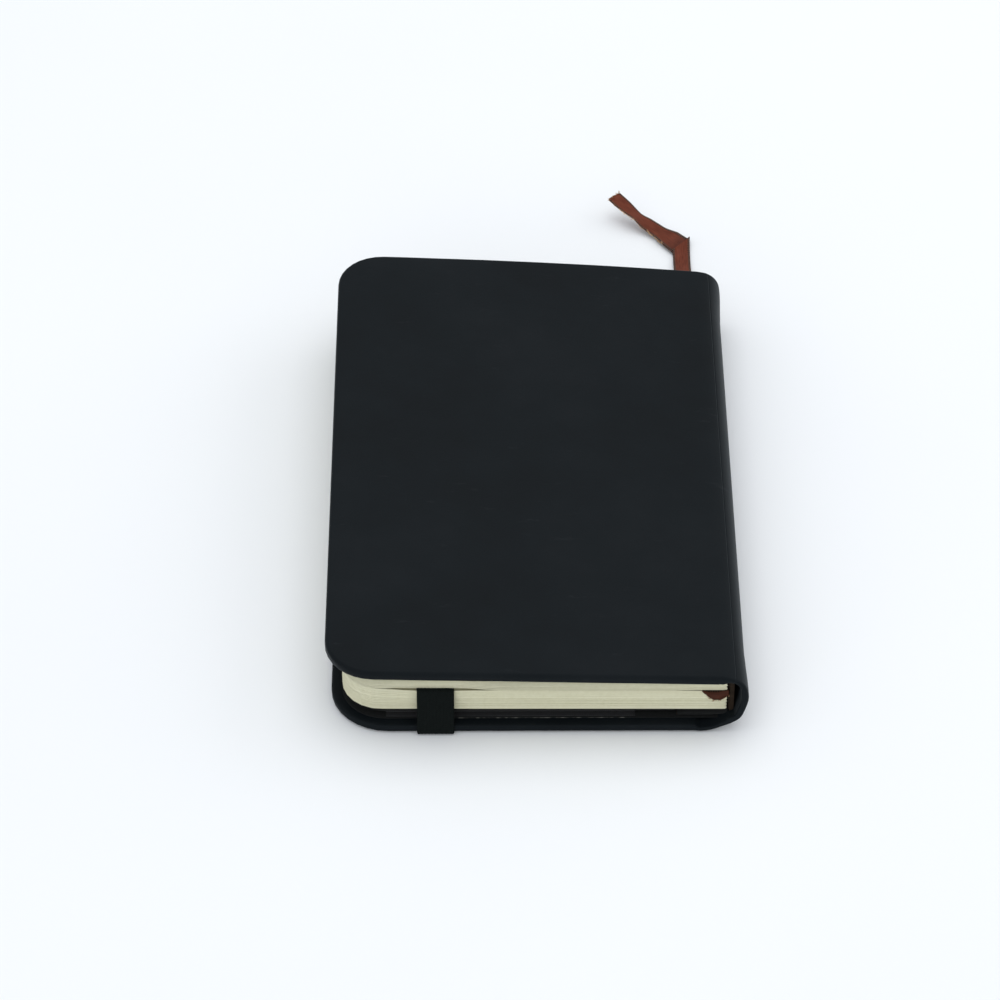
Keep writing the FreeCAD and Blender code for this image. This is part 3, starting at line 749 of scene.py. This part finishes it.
def leaf_tree():
    """Nest of folded sheets: sheet k joins leaf first+k to leaf last-k, bent round the fold inside sheet k-1."""
    tree, given = new_tree("nested_sheets", [("Sheets", "Int"), ("First leaf", "Float"), ("Pile", "Float"),
                                             ("Thickness", "Float"), ("Nose", "Float"), ("Pitch", "Float"),
                                             ("Unevenness", "Float"), ("Seed", "Int"), ("Paper", "Material")])
    line = add(tree, "GeometryNodeMeshLine", {"Count": given["Sheets"], "Offset": (0, 0, 0)}).outputs[0]
    number = add(tree, "GeometryNodeInputIndex").outputs[0]
    marked = add(tree, "GeometryNodeStoreNamedAttribute", {"Geometry": line, "Name": "sheet", "Value": number},
                 data_type="FLOAT", domain="POINT").outputs[0]
    placed = add(tree, "GeometryNodeInstanceOnPoints", {"Points": marked, "Instance": given["Geometry"]}).outputs[0]
    real = add(tree, "GeometryNodeRealizeInstances", {"Geometry": placed}).outputs[0]
    sheet, turn, skin = (attribute(tree, label) for label in ("sheet", "turn", "skin"))
    bed, top = attribute(tree, "bed"), attribute(tree, "top")
    span = math_node(tree, "SUBTRACT", top, bed)
    steps = math_node(tree, "SUBTRACT", given["Pile"], 1.0)
    last = math_node(tree, "ADD", given["First leaf"], 2 * SHEETS - 1.0)
    low_leaf = math_node(tree, "DIVIDE", math_node(tree, "ADD", given["First leaf"], sheet), steps)
    high_leaf = math_node(tree, "DIVIDE", math_node(tree, "SUBTRACT", last, sheet), steps)
    inside = math_node(tree, "MULTIPLY", skin, given["Thickness"])
    z_low = math_node(tree, "ADD", math_node(tree, "ADD", bed, math_node(tree, "MULTIPLY", span, low_leaf)), inside)
    z_high = math_node(tree, "ADD", bed, math_node(tree, "MULTIPLY", span, high_leaf))
    z_high = math_node(tree, "SUBTRACT", math_node(tree, "ADD", z_high, given["Thickness"]), inside)
    middle = math_node(tree, "MULTIPLY", math_node(tree, "ADD", z_low, z_high), 0.5)
    half = math_node(tree, "MULTIPLY", math_node(tree, "SUBTRACT", z_high, z_low), 0.5)
    z = math_node(tree, "SUBTRACT", middle, math_node(tree, "MULTIPLY", half, math_node(tree, "COSINE", turn)))
    nose = math_node(tree, "SUBTRACT", math_node(tree, "SUBTRACT", given["Nose"], inside),
                     math_node(tree, "MULTIPLY", sheet, given["Pitch"]))
    place = add(tree, "ShaderNodeSeparateXYZ", {0: add(tree, "GeometryNodeInputPosition").outputs[0]}).outputs
    uneven = add(tree, "FunctionNodeRandomValue", {"Min": -1.0, "Max": 1.0, "ID": sheet, "Seed": given["Seed"]},
                 data_type="FLOAT").outputs[1]
    uneven = math_node(tree, "MULTIPLY", uneven, given["Unevenness"])
    x = math_node(tree, "ADD", place[0], math_node(tree, "MULTIPLY", nose, math_node(tree, "SINE", turn)))
    y = math_node(tree, "MULTIPLY", place[1], math_node(tree, "ADD", uneven, 1.0))
    target = add(tree, "ShaderNodeCombineXYZ", {0: x, 1: y, 2: z}).outputs[0]
    metres = add(tree, "ShaderNodeVectorMath", {0: target, "Scale": MM}, operation="SCALE").outputs[0]
    bent = add(tree, "GeometryNodeSetPosition", {"Geometry": real, "Position": metres}).outputs[0]
    end_tree(tree, bent, given["Paper"])
    return tree


def make_sections():
    tree = leaf_tree()
    lower, upper = sheet_base("lower_sheet", lower_bed, lower_top), sheet_base("upper_sheet", upper_bed, upper_top)
    for number in range(1, SECTIONS + 1):
        first = (SECTIONS - number) * SHEETS * 2
        over_strap = number <= UPPER_SECTIONS
        node = "section_%02d" % number
        piece = grow(node + "_leaves", upper if over_strap else lower, tree, {
            "Sheets": SHEETS, "First leaf": float(first - LOWER_LEAVES if over_strap else first),
            "Pile": float(ALL_LEAVES - LOWER_LEAVES if over_strap else LOWER_LEAVES), "Thickness": SHEET,
            "Nose": FOLD_X - LEG_X, "Pitch": PITCH, "Unevenness": 0.0005, "Seed": number, "Paper": PAGES})
        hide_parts(node)
        if over_strap:
            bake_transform(piece)
        else:
            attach(piece, "root")


make_sections()


def make_flyleaf():
    """Black leaf that lies on the top page."""
    def place(u, y, depth):
        return u, y, upper_top(min(u, LEG_X), y) + SHEET + 0.02 + FLYLEAF - depth
    leaf = curved_plate("front_flyleaf_paper", place, PAGE_EDGE_X, FOLD_X, PAGE_Y, PAGE_CORNER, (0.0, FLYLEAF), BLACK_PAPER)
    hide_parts("front_flyleaf")
    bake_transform(leaf)


make_flyleaf()


def folded_strip(name, line, thickness, half_y):
    """Thin sheet that follows a line in the XZ plane, closed all round."""
    verts, faces, skins = [], [], []
    across = spread(-half_y, half_y, 24)
    for side in (0.5, -0.5):
        rows = []
        for i, (x, z) in enumerate(line):
            a, b = line[max(i - 1, 0)], line[min(i + 1, len(line) - 1)]
            along = Vector((b[0] - a[0], 0, b[1] - a[1])).normalized()
            out = Vector((-along.z, 0, along.x)) * (thickness * side)
            rows.append(list(range(len(verts), len(verts) + len(across))))
            verts.extend((x + out.x, y, z + out.z) for y in across)
        skins.append(rows)
        for a, b in zip(rows, rows[1:]):
            faces.extend(strip_faces(a, b))
    outer, inner = skins
    for end in (0, -1):
        faces.extend(strip_faces([r[end] for r in outer], [r[end] for r in inner]))
        faces.extend(strip_faces(outer[end], inner[end]))
    return make_object(name, verts, faces, BLACK_PAPER)


def make_endpaper_folds():
    """Black endpapers where they pass over the joints: from flyleaf to pastedown at the front and at the back."""
    page_top = BLOCK_Z + (ALL_LEAVES - 1) * PITCH + STRAP_GAP + SHEET + 0.02 + FLYLEAF / 2
    under_cover = SHOULDER[1] - COVER - PASTE / 2
    front = [(37.0, under_cover + 0.02), (38.6, under_cover), (39.6, under_cover - 0.02), (40.5, under_cover - 0.03),
             (41.0, (under_cover + page_top) / 2), (40.9, page_top + 0.02), (40.4, page_top + 0.14)]
    fold = folded_strip("front_endpaper_fold", front, FLYLEAF, PAGE_Y - 0.1)
    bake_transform(fold)
    back = [(30.6, 2.62), (34.0, 2.62), (38.0, 2.66), (40.4, 2.86), (41.15, 3.30), (41.28, 3.80), (41.0, 4.16), (40.2, 4.21)]
    strip = folded_strip("back_endpaper_fold", back, FLYLEAF, PAGE_Y - 0.1)
    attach(strip, "root")


make_endpaper_folds()


# ---- elastic strap -------------------------------------------------------------------------------
def strap_line():
    """Middle line of the strap in the YZ plane, from the slot in the back cover round the head into the leaves."""
    corner = [(-70.12 - 0.42 * math.sin(math.pi / 2 * i / 5), 0.80 - 0.42 * math.cos(math.pi / 2 * i / 5))
              for i in range(6)]
    head = [(-59.55, 1.6), (-59.55, 0.8), (-59.75, 0.45), (-60.1, 0.38), (-63.0, 0.38), (-66.5, 0.38)] + corner
    climb = STRAP_Z - 0.6 - 1.2
    leg = [(-70.52 + 2.45 * t, 1.2 + climb * t ** 0.97) for t in (0.1, 0.2, 0.35, 0.5, 0.65, 0.8, 0.9, 0.97)]
    turn = [(-68.0 + 0.45 * (1 - math.cos(math.pi / 2 * i / 5)), STRAP_Z - 0.42 + 0.42 * math.sin(math.pi / 2 * i / 5))
            for i in range(6)]
    half = head + leg + turn + [(y, STRAP_Z) for y in (-66.5, -62.0, -45.0, -20.0)]
    return half + [(0.0, STRAP_Z)] + [(-y, z) for y, z in reversed(half)]


def make_strap():
    ribs, per_rib = 11, 6
    line = strap_line()
    run = 0.0
    verts, faces, uvs, rows = [], [], [], []
    for i, (y, z) in enumerate(line):
        a, b = line[max(i - 1, 0)], line[min(i + 1, len(line) - 1)]
        tangent = Vector((0, b[0] - a[0], b[1] - a[1])).normalized()
        normal = tangent.cross(Vector((1, 0, 0)))
        if i:
            run += math.dist(line[i - 1], line[i])
        lean = math.radians(0.775) * smoothstep(z, 1.0, STRAP_Z - 0.5)
        width = Vector((math.cos(lean), 0, -math.sin(lean)))
        row = []
        steps = ribs * per_rib
        outline = [(k / steps, 1) for k in range(steps + 1)] + [(k / steps, -1) for k in range(steps, -1, -1)]
        for t, side in outline:
            edge = min(t, 1 - t) * STRAP_W
            round_off = math.sqrt(max(1 - (1 - min(edge / 0.32, 1.0)) ** 2, 0.0))
            rib = 0.05 * (1 - abs(math.sin(math.pi * t * ribs)))
            half = (STRAP_T / 2 - rib) * max(round_off, 0.12)
            point = Vector((STRAP_X, y, z)) + width * ((t - 0.5) * STRAP_W) + normal * (half * side)
            verts.append(point)
            uvs.append((t * STRAP_W * MM, run * MM))
            row.append(len(verts) - 1)
        rows.append(row)
    for a, b in zip(rows, rows[1:]):
        faces.extend(strip_faces(a, b, closed=True))
    faces += [rows[0], rows[-1][::-1]]
    strap = make_object("elastic_strap_woven", verts, faces, ELASTIC, uvs=uvs)
    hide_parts("elastic_strap", "elastic_strap_ends")
    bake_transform(strap)


make_strap()


# ---- ribbon --------------------------------------------------------------------------------------
def nurbs_points(name, route, steps):
    """Points along the smooth line whose control points are the route, in millimetres."""
    curve = bpy.data.curves.new(name, "CURVE")
    curve.dimensions = "3D"
    spline = curve.splines.new("NURBS")
    spline.points.add(len(route) - 1)
    for point, place in zip(spline.points, route):
        point.co = (*(Vector(place) * MM), 1)
    spline.order_u = 3
    spline.use_endpoint_u = True
    curve.resolution_u = steps
    holder = bpy.data.objects.new(name, curve)
    mesh = bpy.data.meshes.new_from_object(holder)
    points = [v.co / MM for v in mesh.vertices]
    bpy.data.objects.remove(holder)
    bpy.data.curves.remove(curve)
    bpy.data.meshes.remove(mesh)
    return points


def ribbon_strip(name, frames, ragged=0.0):
    """Thin woven strip through frames of (middle, across, up, along); `ragged` breaks up its last end."""
    count = 18
    verts, faces, uvs, rows = [], [], [], []
    run, before = 0.0, None
    rng = random.Random(5)
    teeth = [rng.uniform(-1, 1) * ragged for _ in range(count + 1)]
    for k, (middle, across, up, along) in enumerate(frames):
        if before is not None:
            run += (middle - before).length
        before = middle
        row = []
        for side in (1, -1):
            order = range(count + 1) if side == 1 else range(count, -1, -1)
            for j in order:
                t = j / count
                edge = abs(t - 0.5)
                thick = 0.35 if j in (0, count) else 0.8 + 0.5 * smoothstep(edge, 0.40, 0.45)
                place = middle + across * ((t - 0.5) * RIBBON_W) + up * (side * thick * RIBBON_T / 2)
                if k == len(frames) - 1:
                    place = place + along * teeth[j]
                verts.append(place)
                uvs.append((t * RIBBON_W * MM, run * MM))
                row.append(len(verts) - 1)
        rows.append(row)
    for a, b in zip(rows, rows[1:]):
        faces.extend(strip_faces(a, b, closed=True))
    faces += [rows[0], rows[-1][::-1]]
    return make_object(name, verts, faces, SATIN, uvs=uvs)


def hump(x, low, peak, high):
    return smoothstep(x, low, peak) * (1 - smoothstep(x, peak, high))


WIDEN = 1.05


def tail_frames(path):
    """Frames along the tail: straight out of the pages, a pleat across the turn, then on with a loose twist."""
    inner, outer = Vector((35.7, 97.05, 0.62)), Vector((40.13, 102.27, 0.62))
    pleat, crease = (inner + outer) / 2, (outer - inner) / RIBBON_W
    near = [p for p in path if p.y < pleat.y and (p - pleat).length > 2.6]
    far = [p for p in path if p not in near and (p - pleat).length > 3.6]
    first = (pleat - near[-1]).normalized()
    up = Vector((0, 0, 1))
    frames = []
    for i, p in enumerate(near):
        following = near[i + 1] if i + 1 < len(near) else pleat
        along = (following - (near[i - 1] if i else p)).normalized()
        across = Vector((along.y, -along.x, 0)).normalized() * WIDEN
        turn = smoothstep(i, len(near) - 4, len(near) + 1)
        across = across.lerp(crease, turn * 0.55)
        frames.append((p, across, across.cross(along).normalized(), along))
    for step, lift in ((-0.5, 0.42), (0.0, 0.52), (0.16, 0.40), (-0.30, 0.26), (-0.75, 0.12)):
        frames.append((pleat + first * step + up * lift, crease, up, first))
    for i, p in enumerate(far):
        share = i / (len(far) - 1)
        before, after = (far[i - 1] if i else pleat), far[min(i + 1, len(far) - 1)]
        along = (after - before).normalized()
        across = Vector((along.y, -along.x, 0)).normalized() * WIDEN
        across = crease.lerp(across, smoothstep(share, -0.1, 0.22))
        roll = -0.08 * hump(share, 0.0, 0.28, 0.52) + 0.27 * hump(share, 0.45, 0.66, 0.90)
        across = Matrix.Rotation(roll, 3, along) @ across
        frames.append((p, across, across.cross(along).normalized(), along))
    return frames


def loose_thread():
    """One short curled thread, three-sided and tapered, 1 unit long."""
    verts, faces = [], []
    for i, (x, z, radius) in enumerate(((0.0, 0.0, 0.22), (0.4, 0.10, 0.20), (0.75, 0.32, 0.14), (0.95, 0.62, 0.05))):
        verts += [(x, radius * math.cos(a), z + radius * math.sin(a)) for a in (0.5, 2.6, 4.7)]
        if i:
            faces += [[3 * i - 3 + j, 3 * i - 3 + (j + 1) % 3, 3 * i + (j + 1) % 3, 3 * i + j] for j in range(3)]
    faces += [[2, 1, 0], [9, 10, 11]]
    mesh = bpy.data.meshes.new("loose_thread")
    mesh.from_pydata(verts, [], faces)
    holder = bpy.data.objects.new("loose_thread", mesh)
    scene.collection.objects.link(holder)
    return holder


def fray_tree():
    """Short curled threads along a line, in random directions round its outward side."""
    tree, given = new_tree("frayed_threads", [("Threads", "Int"), ("Thread", "Object"), ("Size", "Float"),
                                              ("Seed", "Int"), ("Finish", "Material")])
    line = add(tree, "GeometryNodeMeshToCurve", {"Mesh": given["Geometry"]}).outputs[0]
    spaced = add(tree, "GeometryNodeCurveToPoints", {"Curve": line, "Count": given["Threads"]}, mode="COUNT").outputs
    thread = add(tree, "GeometryNodeObjectInfo", {"Object": given["Thread"]}).outputs["Geometry"]
    place = add(tree, "GeometryNodeInputIndex").outputs[0]
    turn = add(tree, "FunctionNodeRandomValue", {"Min": (-0.5, -0.5, 0.8), "Max": (0.5, 0.5, 4.4), "ID": place,
                                                 "Seed": given["Seed"]}, data_type="FLOAT_VECTOR").outputs[0]
    size = add(tree, "FunctionNodeRandomValue", {2: 0.45, 3: 1.0, "ID": place, "Seed": given["Seed"]},
               data_type="FLOAT").outputs[1]
    scale = math_node(tree, "MULTIPLY", size, given["Size"])
    grown = add(tree, "GeometryNodeInstanceOnPoints", {"Points": spaced[0], "Instance": thread, "Rotation": turn,
                                                       "Scale": scale}).outputs[0]
    end_tree(tree, grown, given["Finish"])
    return tree


def make_fray(name, edge, threads, size, seed):
    """Frayed threads along an edge given as points in millimetres."""
    mesh = bpy.data.meshes.new(name)
    mesh.from_pydata([p * MM for p in edge], [(i, i + 1) for i in range(len(edge) - 1)], [])
    source = loose_thread()
    fray = grow(name, mesh, fray_tree(), {"Threads": threads, "Thread": source, "Size": size * MM, "Seed": seed,
                                          "Finish": FRAY})
    bpy.data.objects.remove(source)
    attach(fray, "root")
    return fray


def make_tail():
    path = nurbs_points("tail_line", TAIL_ROUTE, 14)
    frames = tail_frames(path)
    tail = ribbon_strip("ribbon_tail_satin", frames, ragged=0.4)
    bend = next(i for i, f in enumerate(frames) if f[0].y > 101.5)
    worn = [f[0] - f[1] * (RIBBON_W / 2) for f in frames[bend:]]
    last, across = frames[-1][:2]
    cut = [last + across * (t * RIBBON_W) for t in spread(-0.5, 0.5, 6)]
    frays = [make_fray("ribbon_edge_fray", worn, 34, 0.75, 3), make_fray("ribbon_end_fray", cut, 16, 0.6, 8)]
    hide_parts("ribbon_tail")
    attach(tail, "root")
    [c * MM for c in TAIL_ROUTE[0]]


def make_marker():
    """The ribbon through the leaves, and the flap where it drops over the head of the pages to the spine."""
    z = TAIL_ROUTE[0][2]
    frames = [(Vector((38.0, y, z)), Vector((1, 0, 0)), Vector((0, 0, 1)), Vector((0, 1, 0)))
              for y in spread(-66.4, PAGE_Y, 30)]
    run = ribbon_strip("ribbon_marker_run", frames)
    steps, rungs = 20, 10
    verts, faces, uvs, skins = [], [], [], []
    for side in (1, -1):
        grid = []
        for i in range(steps + 1):
            t = i / steps
            x = 35.7 + 5.75 * t
            high = 9.98 + 0.35 * smoothstep(t, 0.3, 1.0)
            drop = 2.75 * math.sin(math.pi / 2 * min(t / 0.60, 1.0)) - 0.9 * smoothstep(t, 0.68, 1.0)
            low = high - 0.12 - drop - 0.07 * math.sin(31 * t)
            row = []
            for j in range(rungs + 1):
                b = j / rungs
                belly = 0.55 * math.sin(math.pi * b) ** 0.8 * math.sin(math.pi * min(t * 1.1, 1.0)) + 0.05 * math.sin(19 * t + 4 * b)
                tuck = 1.1 * smoothstep(b, 0.86, 1.0)
                row.append(len(verts))
                verts.append((x, -PAGE_Y - 0.22 - belly + tuck + side * 0.07, low + (high - low) * b))
                uvs.append((b * RIBBON_W * MM, t * 5.75 * MM))
            grid.append(row)
        skins.append(grid)
        for a, b in zip(grid, grid[1:]):
            faces.extend(strip_faces(a, b))
    front, back = skins
    for a, b in ((front[0], back[0]), (front[-1], back[-1]), ([r[0] for r in front], [r[0] for r in back]),
                 ([r[-1] for r in front], [r[-1] for r in back])):
        faces.extend(strip_faces(a, b))
    # The flap takes the satin copy with painted shade.
    flap = make_object("ribbon_marker_flap", verts, faces, SHADED_SATIN, uvs=uvs)
    hem = [Vector(verts[row[0]]) + Vector((0, -0.08, 0)) for row in skins[1][4:]]
    make_fray("ribbon_flap_fray", hem, 12, 0.7, 4)
    for piece in (run, flap):
        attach(piece, "root")
    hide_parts("ribbon_bookmark")


make_tail()
make_marker()


# ---- finishes on the frame's own pieces ----------------------------------------------------------
FINISHES = {
    BOARD: ("back_board", "spine_card"),
    BLACK_PAPER: ("back_flyleaf", "pocket_panel"),
    BACK_ENDPAPER: ("back_pastedown",),
    POCKET_CLOTH: ("pocket_gusset_head", "pocket_gusset_tail"),
    GAUZE: ("spine_mull",),
    KRAFT: ("spine_lining",),
    LINEN: ("sewing_thread",),
}
for material, names in FINISHES.items():
    for node_name in names:
        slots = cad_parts[node_name].material_slots
        for slot in slots:
            slot.material = material


# ---- floor ---------------------------------------------------------------------------------------
def make_floor():
    reach = 3.0
    mesh = bpy.data.meshes.new("floor")
    mesh.from_pydata([(-reach, -reach, 0), (reach, -reach, 0), (reach, reach, 0), (-reach, reach, 0)], [], [(0, 1, 2, 3)])
    mesh.materials.append(floor_material())
    floor = bpy.data.objects.new("floor", mesh)
    floor.location.z = -0.0001
    scene.collection.objects.link(floor)


make_floor()
